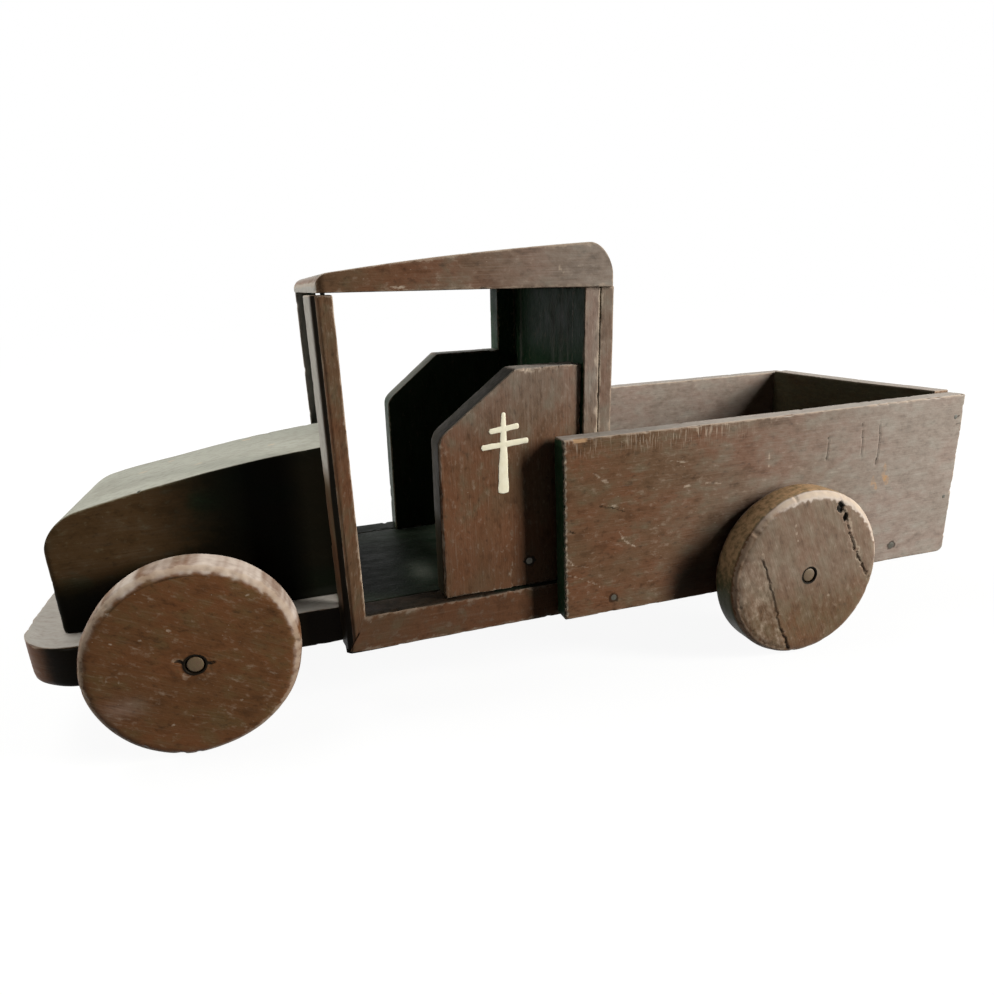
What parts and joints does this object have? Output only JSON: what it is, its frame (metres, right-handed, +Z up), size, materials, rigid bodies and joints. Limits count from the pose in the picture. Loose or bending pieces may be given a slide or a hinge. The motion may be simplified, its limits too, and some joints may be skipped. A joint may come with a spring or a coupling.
{
  "type": "toy truck",
  "caption": "Painted wooden toy truck with a block bonnet, an open cab with slanted doors under a crowned roof, an open box and solid disc wheels that turn on nails.",
  "frame": {"origin": "middle of the truck on the ground under its wheels, at the bottom centre of the bounding box", "axes": "+X towards the bonnet, the way the truck drives; +Y to the truck's left side; +Z up"},
  "size_m": [0.45, 0.182, 0.1976],
  "materials": {
    "body_paint": "worn semi-gloss brown paint on wood",
    "dark_paint": "worn semi-gloss dark green-brown paint on wood",
    "wheel_paint": "worn reddish-brown paint on wood",
    "nail_steel": "dull, partly painted over"
  },
  "bodies": {
    "truck": {"floor_board": "body_paint", "bonnet": "dark_paint", "cab_side_left": "body_paint", "cab_side_right": "body_paint", "cab_back": "dark_paint", "roof": "body_paint", "door_left": "body_paint", "door_right": "body_paint", "seat": "dark_paint", "box_side_left": "body_paint", "box_side_right": "body_paint", "tailgate": "body_paint", "pin_front_left": "nail_steel", "pin_front_right": "nail_steel", "pin_rear_left": "nail_steel", "pin_rear_right": "nail_steel", "box_nails": "nail_steel", "door_nails": "nail_steel", "tailgate_nails": "nail_steel", "roof_nails": "nail_steel", "back_nails": "nail_steel"},
    "front_left_wheel": {"wheel_front_left": "wheel_paint"},
    "front_right_wheel": {"wheel_front_right": "wheel_paint"},
    "rear_left_wheel": {"wheel_rear_left": "wheel_paint"},
    "rear_right_wheel": {"wheel_rear_right": "wheel_paint"}
  },
  "joints": [
    {"name": "front_left_spin", "type": "hinge", "parent": "truck", "child": "front_left_wheel", "pos_m": [0.156, 0.0585, 0.04175], "axis": [0, 1, 0], "continuous": true},
    {"name": "front_right_spin", "type": "hinge", "parent": "truck", "child": "front_right_wheel", "pos_m": [0.156, -0.0585, 0.04175], "axis": [0, 1, 0], "continuous": true},
    {"name": "rear_left_spin", "type": "hinge", "parent": "truck", "child": "rear_left_wheel", "pos_m": [-0.1175, 0.082, 0.04175], "axis": [0, 1, 0], "continuous": true},
    {"name": "rear_right_spin", "type": "hinge", "parent": "truck", "child": "rear_right_wheel", "pos_m": [-0.1175, -0.082, 0.04175], "axis": [0, 1, 0], "continuous": true}
  ]
}
